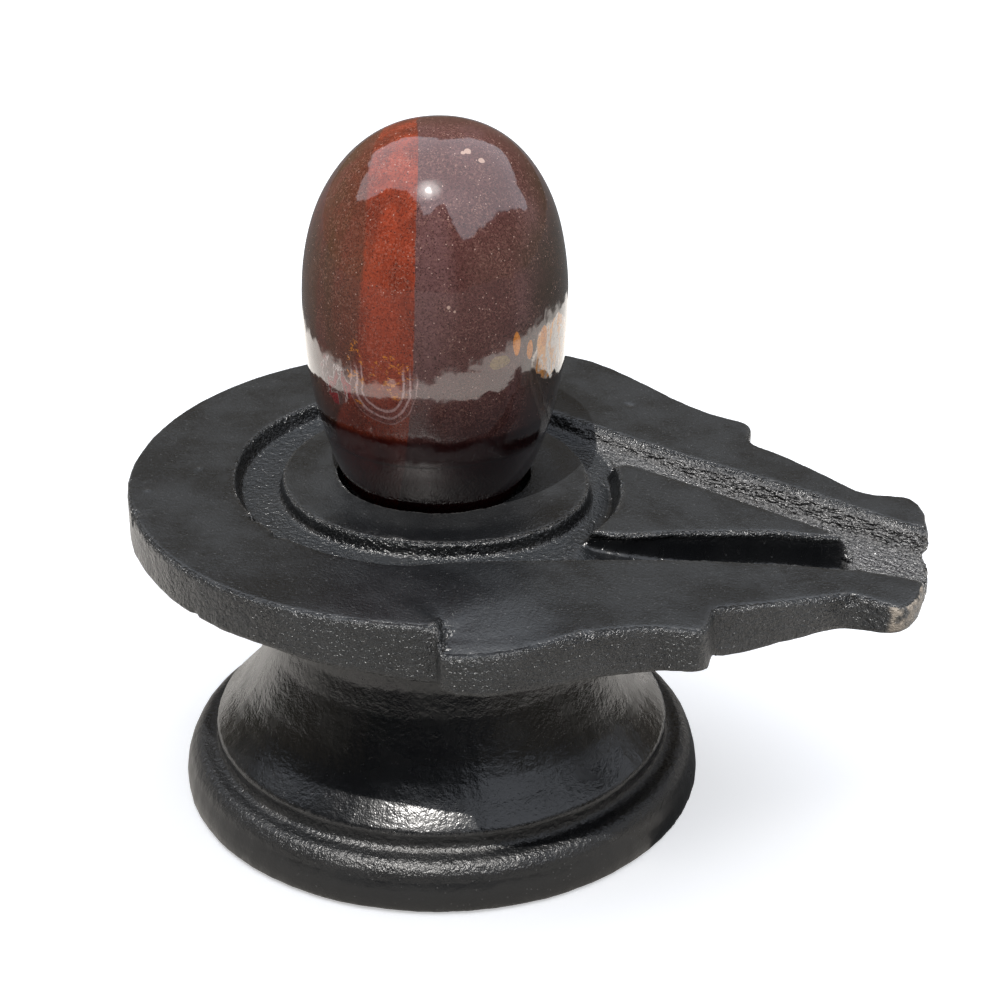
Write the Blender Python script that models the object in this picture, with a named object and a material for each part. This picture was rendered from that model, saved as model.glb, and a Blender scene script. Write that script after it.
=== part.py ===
"""A shiva lingam stone: an egg-shaped banded river stone that stands in a carved black stone base.

The base is one block. A moulded foot carries a bell and a neck, and the neck carries a round plate with a
spout. A ring groove in the plate goes round a flat collar, and two channels lead from it past a raised
tongue to the mouth of the spout. The stone stands on a small ground flat in a socket in the collar.

Metres, +Z up. The origin is on the foot's axis at its underside, and the spout points along +X.
"""

import math

import bmesh
import bpy

# Driving dimensions of the base
FOOT_RADIUS = 0.0735
PLATE_TOP = 0.0950
DISC_RADIUS = 0.0845
SPOUT_TIP = 0.1340
SPOUT_FALL = 0.115            # the spout's top falls by this much for each metre along it
FALL_START = -0.0073          # where the level top begins to turn down
FALL_END = 0.0367             # where the fall is a straight slope

# Height of the plate's underside along its edge, as (x, height) from the back of the disc to the tip
UNDERSIDE = [(-0.0300, 0.0820), (-0.0060, 0.0800), (0.0140, 0.0777), (0.0480, 0.0770), (0.0660, 0.0757)]
UNDERSIDE += [(0.0790, 0.0754), (0.0828, 0.0724), (0.0900, 0.0723), (0.1070, 0.0738), (0.1170, 0.0728)]
UNDERSIDE += [(0.1290, 0.0744)]
# The underside's middle line falls straight from this place, so that the spout has a keel below
KEEL_START = (0.0140, 0.0777)
KEEL_FALL = 0.0725

# Edges of the plate
EDGE_ROUND = 0.0012
CREST_DROP = 0.0064           # how far the near wing's outer edge is rolled down, at y below 0
CREST_BAND = 0.0085           # width of that rolled edge
FAR_WIDENING = 0.0016         # the spout's far side stands out by this much more than the near side
STEP_X = 0.0166               # the disc's rim ends here in the step of the first wing
CREST_END_X = 0.0500          # the rolled edge has faded out here

# Groove, collar and socket
GROOVE_DEPTH = 0.0043
GROOVE_OUTER = 0.0562
GROOVE_CENTER = (0.0000, 0.0016)
# The groove's outer wall is cut straight where it runs into the channels: (direction in degrees, distance)
GROOVE_FLATS = [(70.2, 0.0504), (-68.5, 0.0525)]
COLLAR_RADIUS = 0.0419
COLLAR_CENTER = (-0.0008, 0.0000)
SOCKET_RADIUS = 0.0280
SOCKET_CENTER = (-0.0017, 0.0020)
SOCKET_DEPTH = 0.0123

# Channels and tongue
TONGUE_ARC_RADIUS = 0.0503
TONGUE_TIP = (0.1102, 0.0018)
CHANNEL_DEPTH = 0.0074        # below the spout's own top, reached between these two places
CHANNEL_DEEPENS = (0.0450, 0.0850)
WALL_LEAN = 0.25              # a carved wall leans out by this much for each metre of depth
ARC_WALL_LEAN = 0.55          # the tongue's wall over the groove leans more

# The stone
STONE_RADIUS = 0.0359
STONE_WAIST = 0.1441          # height of its widest place
STONE_TOP = 0.1939
STONE_LOWER_REACH = 0.0705    # from the widest place to where the egg would close below
STONE_UPPER_POWER = 2.25      # 2 is an ellipse, and more is squarer in the shoulder
STONE_CENTER = (-0.0006, 0.0023)
STONE_BEND = (0.0013, 0.0003)  # the top stands off by this much, and the foot by as much the other way
FIT_GAP = 0.0003

# Resolution
DISC_RIBS = 22
WING_RIBS = 8
TURNED_SEGMENTS = 64
STONE_SEGMENTS = 52
STONE_RINGS = 24


def clear_scene():
    """Remove every object, so that the script starts from nothing."""
    for old in list(bpy.data.objects):
        bpy.data.objects.remove(old, do_unlink=True)


def stone_material(name, color, roughness):
    """One plain stone finish."""
    material = bpy.data.materials.new(name)
    material.use_nodes = True
    shader = material.node_tree.nodes["Principled BSDF"]
    shader.inputs["Base Color"].default_value = (*color, 1.0)
    shader.inputs["Roughness"].default_value = roughness
    shader.inputs["Metallic"].default_value = 0.0
    return material


def add_object(name, bm, material=None, smooth_angle=35.0):
    """Turn a bmesh into an object, smooth except at edges sharper than smooth_angle."""
    bmesh.ops.recalc_face_normals(bm, faces=bm.faces)
    mesh = bpy.data.meshes.new(name)
    bm.to_mesh(mesh)
    bm.free()
    mesh.shade_smooth()
    mesh.set_sharp_from_angle(angle=math.radians(smooth_angle))
    if material:
        mesh.materials.append(material)
    thing = bpy.data.objects.new(name, mesh)
    bpy.context.scene.collection.objects.link(thing)
    return thing


def as_tool(thing):
    """Mark an object as a tool that only shapes another one."""
    thing.hide_render = True
    thing.display_type = "WIRE"
    return thing


def combine(thing, tool, operation):
    """Add an exact Boolean of the tool to the thing."""
    modifier = thing.modifiers.new(f"{operation.lower()} {tool.name}", "BOOLEAN")
    modifier.operation = operation
    modifier.solver = "EXACT"
    modifier.object = tool


def smooth_rise(value, start, end):
    """0 before start, 1 after end, and an S curve between them."""
    part = min(max((value - start) / (end - start), 0.0), 1.0)
    return part * part * (3.0 - 2.0 * part)


def turned(profile, segments, center=lambda height: (0.0, 0.0)):
    """A closed solid turned from (radius, height) points, about the center that it has at each height."""
    bm = bmesh.new()
    rings = []
    for radius, height in profile:
        cx, cy = center(height)
        if radius == 0.0:
            rings.append([bm.verts.new((cx, cy, height))])
            continue
        ring = []
        for step in range(segments):
            turn = 2.0 * math.pi * step / segments
            ring.append(bm.verts.new((cx + radius * math.cos(turn), cy + radius * math.sin(turn), height)))
        rings.append(ring)
    for lower, upper in zip(rings, rings[1:]):
        for step in range(segments):
            after = (step + 1) % segments
            corners = [lower[step % len(lower)], lower[after % len(lower)]]
            corners += [upper[after % len(upper)], upper[step % len(upper)]]
            bm.faces.new(list(dict.fromkeys(corners)))
    return bm


def prism(lower, upper):
    """A closed solid between two outlines that have the same number of points."""
    bm = bmesh.new()
    bottom = [bm.verts.new(point) for point in lower]
    top = [bm.verts.new(point) for point in upper]
    bm.faces.new(bottom)
    bm.faces.new(top)
    for index in range(len(lower)):
        after = (index + 1) % len(lower)
        bm.faces.new((bottom[index], bottom[after], top[after], top[index]))
    return bm


# The plate

def top_height(x):
    """Height of the plate's top, which is level on the disc and falls along the spout."""
    if x < FALL_START:
        return PLATE_TOP
    if x < FALL_END:
        return PLATE_TOP - SPOUT_FALL * (x - FALL_START) ** 2 / (2.0 * (FALL_END - FALL_START))
    return PLATE_TOP - SPOUT_FALL * (x - (FALL_START + FALL_END) / 2.0)


def underside_height(x, across):
    """Height of the underside, where across is 0 on the spout's middle line and 1 at its edge."""
    edge = UNDERSIDE[0][1]
    for (start, here), (end, there) in zip(UNDERSIDE, UNDERSIDE[1:]):
        edge += (there - here) * smooth_rise(x, start, end)
    start_x, start_height = KEEL_START
    middle = edge
    if x > start_x:
        middle = min(edge, start_height - KEEL_FALL * (x - start_x))
    return middle + (edge - middle) * across * across


def crest_drop(x, inset):
    """How far the top is rolled down at this distance in from the edge of the near wing."""
    if x < STEP_X + EDGE_ROUND / 2.0 or x > CREST_END_X or inset > CREST_BAND:
        return 0.0
    fade = (CREST_END_X - x) / (CREST_END_X - STEP_X)
    return CREST_DROP * fade * (1.0 - inset / CREST_BAND) ** 1.6


def s_curve(start, end, steps):
    """Points from start towards end whose y follows an S curve, without the end itself."""
    points = []
    for step in range(steps):
        part = step / steps
        y = start[1] + (end[1] - start[1]) * smooth_rise(part, 0.0, 1.0)
        points.append((start[0] + (end[0] - start[0]) * part, y))
    return points


def half_outline():
    """Half of the plate's outline, from the back of the disc to the tip of the spout, at y above 0."""
    last_turn = math.acos(STEP_X / DISC_RADIUS)
    points = []
    for step in range(DISC_RIBS + 1):
        turn = math.pi + (last_turn - math.pi) * step / DISC_RIBS
        points.append((DISC_RADIUS * math.cos(turn), DISC_RADIUS * math.sin(turn)))
    points += [(0.0171, 0.0850), (0.0182, 0.0867), (0.0202, 0.0875)]
    points += s_curve((0.0230, 0.0875), (0.0760, 0.0630), WING_RIBS)
    points += [(0.0760, 0.0630), (0.0788, 0.0624), (0.0804, 0.0608), (0.0810, 0.0585)]
    points += [(0.0813, 0.0509), (0.0828, 0.0487), (0.0900, 0.0448), (0.0990, 0.0394), (0.1070, 0.0342)]
    points += [(0.1122, 0.0307), (0.1150, 0.0297), (0.1180, 0.0297), (0.1222, 0.0309), (0.1254, 0.0316)]
    points += [(0.1280, 0.0312), (0.1302, 0.0288), (0.1321, 0.0238), (0.1334, 0.0130), (SPOUT_TIP, 0.0)]
    return points


def outward(points, index):
    """Unit vector that points out of the plate at one point of the half outline."""
    before = points[index - 1] if index else (points[0][0], -0.001)
    after = points[index + 1] if index + 1 < len(points) else (points[-1][0], -0.001)
    along_x = after[0] - before[0]
    along_y = after[1] - before[1]
    length = math.hypot(along_x, along_y)
    return -along_y / length, along_x / length


def rib_side(points, index):
    """(x, y, inset) from the edge inwards for one rib, on the side with y above 0."""
    x, y = points[index]
    nx, ny = outward(points, index)
    side = [(x - nx * inset, max(y - ny * inset, 0.0), inset) for inset in (0.0, 0.3 * EDGE_ROUND, EDGE_ROUND)]
    inner_x, inner_y, _ = side[-1]
    radius = math.hypot(inner_x, inner_y)
    for inset in (0.5 * CREST_BAND, CREST_BAND):
        more = min(inset - EDGE_ROUND, 0.7 * inner_y * inset / CREST_BAND)
        if x <= STEP_X:
            side.append((inner_x * (1.0 - more / radius), inner_y * (1.0 - more / radius), inset))
        else:
            side.append((inner_x, inner_y - more, inset))
    last_x, last_y, _ = side[-1]
    side.append((last_x, 0.5 * last_y, 1.0))
    side.append((last_x, 0.0, 1.0))
    return side


def plate_mesh():
    """The plate before anything is cut into it, lofted over ribs that run across it."""
    points = half_outline()
    bm = bmesh.new()
    loops = []
    for index, (_, half_width) in enumerate(points):
        side = rib_side(points, index)
        width = max(half_width, 1.0e-6)
        sink = (EDGE_ROUND, 0.3 * EDGE_ROUND, 0.0, 0.0, 0.0, 0.0, 0.0)
        far_top, near_top, far_under, near_under = [], [], [], []
        for (x, y, inset), drop in zip(side, sink):
            wider = 1.0 + FAR_WIDENING / width * smooth_rise(x, 0.078, 0.095) if y > 0.0 else 1.0
            level = top_height(x) - drop
            below = underside_height(x, min(y / width, 1.0)) + drop
            far_top.append((x, y * wider, level))
            near_top.append((x, -y, level - crest_drop(x, inset)))
            far_under.append((x, y * wider, below))
            near_under.append((x, -y, below))
        over = far_top + list(reversed(near_top[:-1]))
        under = near_under + list(reversed(far_under[:-1]))
        loops.append([bm.verts.new(corner) for corner in over + under])
    for first, second in zip(loops, loops[1:]):
        count = len(first)
        for step in range(count):
            after = (step + 1) % count
            bm.faces.new((first[step], first[after], second[after], second[step]))
    bmesh.ops.remove_doubles(bm, verts=bm.verts, dist=1.0e-6)
    bmesh.ops.dissolve_degenerate(bm, edges=bm.edges, dist=1.0e-6)
    return bm


# Foot, bell and neck

def pedestal_mesh():
    """Everything below the plate, turned about the foot's axis. It reaches up into the plate."""
    ring = [(0.0720, 0.0), (0.0733, 0.0012), (FOOT_RADIUS, 0.0040), (0.0731, 0.0068), (0.0723, 0.0093)]
    roll = [(0.0714, 0.0115), (0.0701, 0.0133), (0.0685, 0.0142), (0.0662, 0.0142)]
    cove = [(0.0645, 0.0146), (0.0640, 0.0160), (0.0644, 0.0194), (0.0636, 0.0203)]
    bell = [(0.0612, 0.0228), (0.0584, 0.0257), (0.0555, 0.0294), (0.0531, 0.0335), (0.0508, 0.0385)]
    neck = [(0.0481, 0.0450), (0.0462, 0.0520), (0.0457, 0.0580), (0.0470, 0.0640), (0.0505, 0.0700)]
    flare = [(0.0560, 0.0750), (0.0610, 0.0785), (0.0610, 0.0860)]
    profile = [(0.0, 0.0)] + ring + roll + cove + bell + neck + flare + [(0.0, 0.0860)]
    return turned(profile, TURNED_SEGMENTS)


# What is cut into the plate

def floor_height(x):
    """Height of the floor of the groove and of the channels, which lie deeper than it."""
    depth = GROOVE_DEPTH + (CHANNEL_DEPTH - GROOVE_DEPTH) * smooth_rise(x, *CHANNEL_DEEPENS)
    return top_height(x) - depth


def channel_mesh():
    """The two channels as one wide trough. The tongue is taken out of it afterwards."""
    stations = [(0.0300, -0.0430, 0.0440), (0.0420, -0.0382, 0.0400), (0.0550, -0.0327, 0.0358)]
    stations += [(0.0640, -0.0292, 0.0330), (0.0730, -0.0260, 0.0308), (0.0850, -0.0226, 0.0282)]
    stations += [(0.0980, -0.0189, 0.0250), (0.1150, -0.0149, 0.0196), (0.1250, -0.0144, 0.0164)]
    stations += [(0.1400, -0.0144, 0.0152)]
    headroom = 0.0100
    bm = bmesh.new()
    sections = []
    for x, near, far in stations:
        top = top_height(x)
        floor = floor_height(x)
        lean = WALL_LEAN * (top - floor)
        spread = WALL_LEAN * headroom
        section = [(x, near + lean, floor), (x, far - lean, floor)]
        section += [(x, far + spread, top + headroom), (x, near - spread, top + headroom)]
        sections.append([bm.verts.new(corner) for corner in section])
    for first, second in zip(sections, sections[1:]):
        for step in range(4):
            after = (step + 1) % 4
            bm.faces.new((first[step], first[after], second[after], second[step]))
    bm.faces.new(sections[0])
    bm.faces.new(sections[-1])
    return bm


def tongue_mesh():
    """The raised tongue between the channels, wider at its root than at its top."""
    arc = []
    arc_steps = 8
    for step in range(arc_steps + 1):
        turn = math.radians(-25.5 + 49.5 * step / arc_steps)
        arc.append((turn, TONGUE_ARC_RADIUS))
    near = [(0.1050, -0.0001), (0.0925, -0.0024), (0.0700, -0.0117)]
    far = [(0.0520, 0.0212), (0.0720, 0.0156), (0.0925, 0.0088), (0.1065, 0.0043)]
    root = 0.0110
    headroom = 0.0060
    lower = []
    upper = []
    for turn, radius in arc:
        x, y = radius * math.cos(turn), radius * math.sin(turn)
        inner = radius - ARC_WALL_LEAN * root
        outer = radius + ARC_WALL_LEAN * headroom
        lower.append((inner * math.cos(turn), inner * math.sin(turn), top_height(x) - root))
        upper.append((outer * math.cos(turn), outer * math.sin(turn), top_height(x) + headroom))
    tip = [TONGUE_TIP]
    for x, y in far + tip + near:
        side = math.copysign(1.0, y - TONGUE_TIP[1])
        ahead = 0.6 if (x, y) == TONGUE_TIP else 0.0
        across = 0.0 if (x, y) == TONGUE_TIP else side
        low_out = WALL_LEAN * root
        high_out = WALL_LEAN * headroom
        lower.append((x + ahead * root, y + across * low_out, top_height(x) - root))
        upper.append((x - ahead * headroom, y - across * high_out, top_height(x) + headroom))
    return prism(lower, upper)


def groove_radius(turn):
    """Radius of the groove's outer wall in one direction, round but for the flats."""
    radius = GROOVE_OUTER
    for direction, distance in GROOVE_FLATS:
        off = math.cos(turn - math.radians(direction))
        if off > 0.5:
            radius = min(radius, distance / off)
    return radius


def groove_mesh():
    """The groove as a dish with a flat floor, which follows the fall of the top. The collar fills its middle."""
    lean = 0.0018
    section = [(0.0380, -GROOVE_DEPTH), (-lean, -GROOVE_DEPTH), (0.0, 0.0), (0.0010, 0.0060)]
    cx, cy = GROOVE_CENTER
    bm = bmesh.new()
    rings = []
    for out, rise in section:
        ring = []
        for step in range(TURNED_SEGMENTS):
            turn = 2.0 * math.pi * (step + 0.5) / TURNED_SEGMENTS
            radius = out if rise < 0.0 < out else groove_radius(turn) + out
            x = cx + radius * math.cos(turn)
            level = PLATE_TOP if rise > 0.0 else top_height(x)
            ring.append(bm.verts.new((x, cy + radius * math.sin(turn), level + rise)))
        rings.append(ring)
    middle = bm.verts.new((cx, cy, floor_height(cx)))
    above = bm.verts.new((cx, cy, PLATE_TOP + 0.0060))
    for step in range(TURNED_SEGMENTS):
        after = (step + 1) % TURNED_SEGMENTS
        bm.faces.new((middle, rings[0][step], rings[0][after]))
        bm.faces.new((above, rings[-1][after], rings[-1][step]))
        for lower, upper in zip(rings, rings[1:]):
            bm.faces.new((lower[step], lower[after], upper[after], upper[step]))
    return bm


def collar_mesh():
    """What the groove leaves standing round the stone."""
    profile = [(0.0, PLATE_TOP - 0.0120), (COLLAR_RADIUS + 0.0010, PLATE_TOP - 0.0120)]
    profile += [(COLLAR_RADIUS, PLATE_TOP), (COLLAR_RADIUS, PLATE_TOP + 0.0080), (0.0, PLATE_TOP + 0.0080)]
    return turned(profile, TURNED_SEGMENTS, lambda height: COLLAR_CENTER)


def socket_mesh():
    """The dish that the stone stands in."""
    floor = PLATE_TOP - SOCKET_DEPTH
    wall = [(0.0178, floor), (0.0215, floor + 0.0012), (0.0250, floor + 0.0045), (0.0272, floor + 0.0085)]
    rim = [(SOCKET_RADIUS, PLATE_TOP), (SOCKET_RADIUS + 0.0004, PLATE_TOP + 0.0060)]
    profile = [(0.0, floor)] + wall + rim + [(0.0, PLATE_TOP + 0.0060)]
    return turned(profile, TURNED_SEGMENTS, lambda height: SOCKET_CENTER)


# The stone

def stone_mesh():
    """An egg that is blunter at the top, cut flat below, and bent a very little."""
    foot_height = PLATE_TOP - SOCKET_DEPTH + FIT_GAP
    lowest = -math.asin((STONE_WAIST - foot_height) / STONE_LOWER_REACH)
    profile = [(0.0, foot_height)]
    for step in range(STONE_RINGS):
        rise = lowest + (math.pi / 2.0 - lowest) * step / STONE_RINGS
        if rise < 0.0:
            radius = STONE_RADIUS * math.cos(rise)
            height = STONE_WAIST + STONE_LOWER_REACH * math.sin(rise)
        else:
            radius = STONE_RADIUS * math.cos(rise) ** (2.0 / STONE_UPPER_POWER)
            height = STONE_WAIST + (STONE_TOP - STONE_WAIST) * math.sin(rise) ** (2.0 / STONE_UPPER_POWER)
        profile.append((radius, height))
    profile.append((0.0, STONE_TOP))

    def center(height):
        bend = (2.0 * (height - foot_height) / (STONE_TOP - foot_height) - 1.0) ** 3
        return STONE_CENTER[0] + STONE_BEND[0] * bend, STONE_CENTER[1] + STONE_BEND[1] * bend

    return turned(profile, STONE_SEGMENTS, center)


def main():
    clear_scene()

    black_stone = stone_material("black_stone", (0.022, 0.023, 0.026), 0.42)
    river_stone = stone_material("river_stone", (0.115, 0.052, 0.043), 0.16)

    pedestal = as_tool(add_object("pedestal_blank", pedestal_mesh()))
    tongue = as_tool(add_object("tongue_blank", tongue_mesh()))
    channels = as_tool(add_object("channel_cutter", channel_mesh()))
    groove = as_tool(add_object("groove_cutter", groove_mesh()))
    collar = as_tool(add_object("collar_blank", collar_mesh()))
    socket = as_tool(add_object("socket_cutter", socket_mesh()))

    combine(groove, channels, "UNION")
    combine(groove, tongue, "DIFFERENCE")
    combine(groove, collar, "DIFFERENCE")

    base = add_object("yoni_base", plate_mesh(), black_stone)
    combine(base, pedestal, "UNION")
    combine(base, groove, "DIFFERENCE")
    combine(base, socket, "DIFFERENCE")

    add_object("lingam_stone", stone_mesh(), river_stone, smooth_angle=50.0)


main()
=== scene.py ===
# %% [markdown]
# # A shiva lingam stone on its carved base
#
# The real object has two pieces: an egg-shaped river stone, ground and polished until it shines, and a base
# that is carved from one block of black stone and rubbed with oil. Nothing moves. The stone only stands in
# its socket. This lesson dresses the plain CAD model of both: each piece gets a dense mesh with the small
# unevenness of handwork, and a material with the real colours, grain, gloss and wear.
#
# Its box is kept, because the finished model has to stay inside it.

# %% Load the frame
import math

import bpy
import numpy as np
from mathutils import Matrix, Vector


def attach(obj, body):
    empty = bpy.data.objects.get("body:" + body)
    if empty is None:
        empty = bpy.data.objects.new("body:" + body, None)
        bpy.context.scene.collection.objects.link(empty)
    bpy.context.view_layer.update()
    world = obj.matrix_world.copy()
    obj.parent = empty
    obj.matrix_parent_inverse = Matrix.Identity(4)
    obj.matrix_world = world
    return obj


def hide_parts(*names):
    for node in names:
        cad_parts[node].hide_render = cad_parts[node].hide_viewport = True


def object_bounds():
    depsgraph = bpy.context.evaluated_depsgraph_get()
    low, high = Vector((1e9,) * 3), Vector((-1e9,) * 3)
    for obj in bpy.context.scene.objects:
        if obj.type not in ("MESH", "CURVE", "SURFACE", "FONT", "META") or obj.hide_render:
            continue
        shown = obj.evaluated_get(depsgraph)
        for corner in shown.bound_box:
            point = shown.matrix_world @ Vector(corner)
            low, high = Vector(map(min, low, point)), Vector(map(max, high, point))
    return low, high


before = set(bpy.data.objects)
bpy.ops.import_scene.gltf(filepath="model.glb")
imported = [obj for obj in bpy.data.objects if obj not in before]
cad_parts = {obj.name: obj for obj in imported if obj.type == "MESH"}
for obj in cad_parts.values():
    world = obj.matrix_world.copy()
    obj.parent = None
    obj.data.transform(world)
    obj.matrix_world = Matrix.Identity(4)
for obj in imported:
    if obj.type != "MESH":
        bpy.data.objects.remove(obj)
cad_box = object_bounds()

scene = bpy.context.scene


def in_millimetres(box):
    return [[round(1000 * value, 1) for value in corner] for corner in box]


print("nodes:", sorted(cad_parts))
print("CAD box in mm:", in_millimetres(cad_box))

# %% [markdown]
# ## The camera
#
# A product photo is often taken with a long lens from a little above. A camera can be placed by eye, but then
# every curve of the object ends up slightly off. Here its place was worked out from the ellipses of the round
# foot and plate, so it is written down as numbers: where it stands, how far it is turned and tipped, and its
# lens. The matrix below has the camera's right, up and backward directions as its columns. The view is set to
# Standard, which shows the colours as they are given and keeps the floor white.

# %% Place the camera
CAMERA_PLACE = Vector((0.12561, -0.59695, 0.39571))
CAMERA_TURN = math.radians(10.3)
CAMERA_PITCH = 0.4699
CAMERA_ROLL = -0.0016
CAMERA_LENS = 89.46
SENSOR_WIDTH = 36.0


def camera_matrix():
    turn, pitch, roll = CAMERA_TURN, CAMERA_PITCH, CAMERA_ROLL
    ahead = Vector((-math.sin(turn) * math.cos(pitch), math.cos(turn) * math.cos(pitch), -math.sin(pitch)))
    level = Vector((math.cos(turn), math.sin(turn), 0.0))
    above = level.cross(ahead)
    right = level * math.cos(roll) + above * math.sin(roll)
    up = above * math.cos(roll) - level * math.sin(roll)
    matrix = Matrix((right, up, -ahead)).transposed().to_4x4()
    matrix.translation = CAMERA_PLACE
    return matrix


camera = bpy.data.objects.new("camera", bpy.data.cameras.new("camera"))
scene.collection.objects.link(camera)
camera.matrix_world = camera_matrix()
camera.data.lens = CAMERA_LENS
camera.data.sensor_width = SENSOR_WIDTH
scene.camera = camera
scene.view_settings.view_transform = "Standard"
print("camera at", [round(value, 3) for value in CAMERA_PLACE])

# %% [markdown]
# ## The base: from a CAD solid to a worked block
#
# The CAD base has sharp edges and large flat facets. A real base has none of either: every edge is rubbed
# round, and every face waves a little. One could bevel each edge, but a Boolean leaves thin triangles
# that bevel badly. A voxel remesh is the better way: it wraps the whole solid in a fresh skin of even little
# squares, and a pass of smoothing then takes the hardness off all edges by the same amount.
#
# Most of Blender's operators act on whatever is selected. So one helper selects one object and nothing else,
# and another adds a modifier, sets it and applies it, the way one would do it by hand.

# %% Remesh and wear the block
VOXEL = 0.00065
WELD_DISTANCE = 0.000005


def only(thing):
    """Select one object and nothing else, and make it the active one."""
    if bpy.context.object and bpy.context.object.mode != "OBJECT":
        bpy.ops.object.mode_set(mode="OBJECT")
    bpy.ops.object.select_all(action="DESELECT")
    thing.select_set(True)
    bpy.context.view_layer.objects.active = thing


def apply_modifier(thing, kind, **settings):
    """Add one modifier, give it its settings and apply it."""
    only(thing)
    modifier = thing.modifiers.new(kind.lower(), kind)
    for name, value in settings.items():
        setattr(modifier, name, value)
    bpy.ops.object.modifier_apply(modifier=modifier.name)


def merged_copy(node, name):
    """A new object with a copy of a CAD node's mesh, whose loose triangles are merged into one skin."""
    thing = bpy.data.objects.new(name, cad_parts[node].data.copy())
    scene.collection.objects.link(thing)
    only(thing)
    bpy.ops.object.mode_set(mode="EDIT")
    bpy.ops.mesh.select_all(action="SELECT")
    bpy.ops.mesh.remove_doubles(threshold=WELD_DISTANCE)
    bpy.ops.object.mode_set(mode="OBJECT")
    return thing


base = merged_copy("yoni_base", "carved_base")
apply_modifier(base, "REMESH", mode="VOXEL", voxel_size=VOXEL, use_smooth_shade=True)
apply_modifier(base, "SMOOTH", factor=0.5, iterations=1)
print("base after the remesh:", len(base.data.polygons), "faces")

# %% [markdown]
# The near wing's top sinks towards its edge. The CAD model gives it a narrow rolled band. On the real base
# the hand that rubbed it went wider, so the same drop is spread over 24 mm. It could be sculpted, but a
# formula can be tuned with a few numbers. Only vertices that face up are moved, so that the wall below the
# edge stays as it is. Near the round disc the drop fades in, so that the step beside the disc stays clean.

# %% Spread the drop of the near wing
TOP_LEVEL = 0.0950
FALL_START, FALL_END, FALL_SLOPE = -0.0073, 0.0367, 0.115
WING_START, WING_END, WING_DROP = 0.0166, 0.0500, 0.0064
WING_SLANT, DROP_CURVE = 0.92, 1.6
CAD_BAND, RUBBED_BAND = 0.0085, 0.0240
DISC_RADIUS, NEAR_SIDE = 0.0845, -0.055


def read_points(mesh):
    points = np.empty(len(mesh.vertices) * 3)
    mesh.vertices.foreach_get("co", points)
    return points.reshape(-1, 3)


def write_points(mesh, points):
    mesh.vertices.foreach_set("co", points.astype(np.float32).ravel())
    mesh.update()


def read_normals(mesh):
    normals = np.empty(len(mesh.vertices) * 3)
    mesh.vertices.foreach_get("normal", normals)
    return normals.reshape(-1, 3)


def smooth_step(value, start, end):
    part = np.clip((value - start) / (end - start), 0.0, 1.0)
    return part * part * (3.0 - 2.0 * part)


def top_height(x):
    """Height of the plate's top, level on the disc and falling along the spout."""
    bent = FALL_SLOPE * (x - FALL_START) ** 2 / (2.0 * (FALL_END - FALL_START))
    straight = FALL_SLOPE * (x - (FALL_START + FALL_END) / 2.0)
    return TOP_LEVEL - np.where(x < FALL_START, 0.0, np.where(x < FALL_END, bent, straight))


def spread_drop(points, normals):
    """Reshape the near wing's top so that it sinks in a wide soft curve, and runs softly into the disc."""
    x, y, z = points.T
    wall = (z > 0.078) & (z < 0.085) & (y < -0.05)
    places = np.arange(WING_START, WING_END + 0.001, 0.0008)
    edge = [y[wall & (np.abs(x - place) < 0.0008)].min() for place in places]
    inset = np.maximum(y - np.interp(x, places, edge), 0.0) * WING_SLANT
    taper = WING_DROP * np.clip((WING_END - x) / (WING_END - WING_START), 0.0, 1.0)
    blend = 0.0004 + 1.3 * np.maximum(DISC_RADIUS - 0.0012 - np.hypot(x, y), 0.0)
    start = WING_START + 0.0006
    past_disc = smooth_step(x, start - blend, start + blend)
    wide = taper * np.clip(1.0 - inset / RUBBED_BAND, 0.0, 1.0) ** DROP_CURVE * past_disc
    narrow = taper * np.clip(1.0 - inset / CAD_BAND, 0.0, 1.0) ** DROP_CURVE * (x > start)
    near_top = z > top_height(x) - WING_DROP - 0.001
    on_top = (normals[:, 2] > 0.25) & near_top & (y < NEAR_SIDE) & (x > 0.0)
    moved = points.copy()
    moved[:, 2] -= np.where(on_top, wide - narrow, 0.0)
    return moved


write_points(base.data, spread_drop(read_points(base.data), read_normals(base.data)))
print("wing lowered to", round(1000.0 * (top_height(WING_START) - WING_DROP), 1), "mm at its corner")

# %% [markdown]
# Where a surface is worn, cut or pale depends on where it is. That could be painted by hand on the mesh, but
# measuring it is exact and comes out the same each time. Each function below gives one number per vertex.
# `rubbed` marks the top faces, which the maker rubbed smooth. `cut` marks the ring groove and the channels,
# which were left as the chisel made them, and `dry` the part of them that no oil reached. `near_channel` is
# the dark channel between tongue and near wing. `dust_and_light` says how pale the stone is painted: partly
# pale dust, partly painted light and shade. It is paler where the sun falls on the groove floor and the
# collar, and darker below the plate, where the bell lies in shade.

# %% Find the zones of the base
UNDERSIDE_LEVEL = 0.0700
RING_Y, RING_RADIUS = 0.0016, 0.0578
TROUGH_X = (0.030, 0.055, 0.098, 0.115, 0.134)
TROUGH_NEAR = (-0.0450, -0.0345, -0.0205, -0.0165, -0.0162)
TROUGH_FAR = (0.0460, 0.0375, 0.0268, 0.0215, 0.0172)
# Below the plate the stone gets an eighth of the walls' dust: painted shade on the bell and foot.
WALL_DUST, SHADED_BELL_DUST = 0.80, 0.10


def find_rubbed(x, y, z, up):
    in_plate = smooth_step(z, UNDERSIDE_LEVEL, UNDERSIDE_LEVEL + 0.002)
    on_wing = (x > WING_START - 0.012) & (x < WING_END) & (y < NEAR_SIDE)
    allowed = np.where(on_wing, WING_DROP + 0.0012, 0.0020)
    shallow = 1.0 - smooth_step(top_height(x) - z, allowed - 0.0012, allowed)
    return shallow * smooth_step(up, 0.80, 0.90) * in_plate


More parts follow.
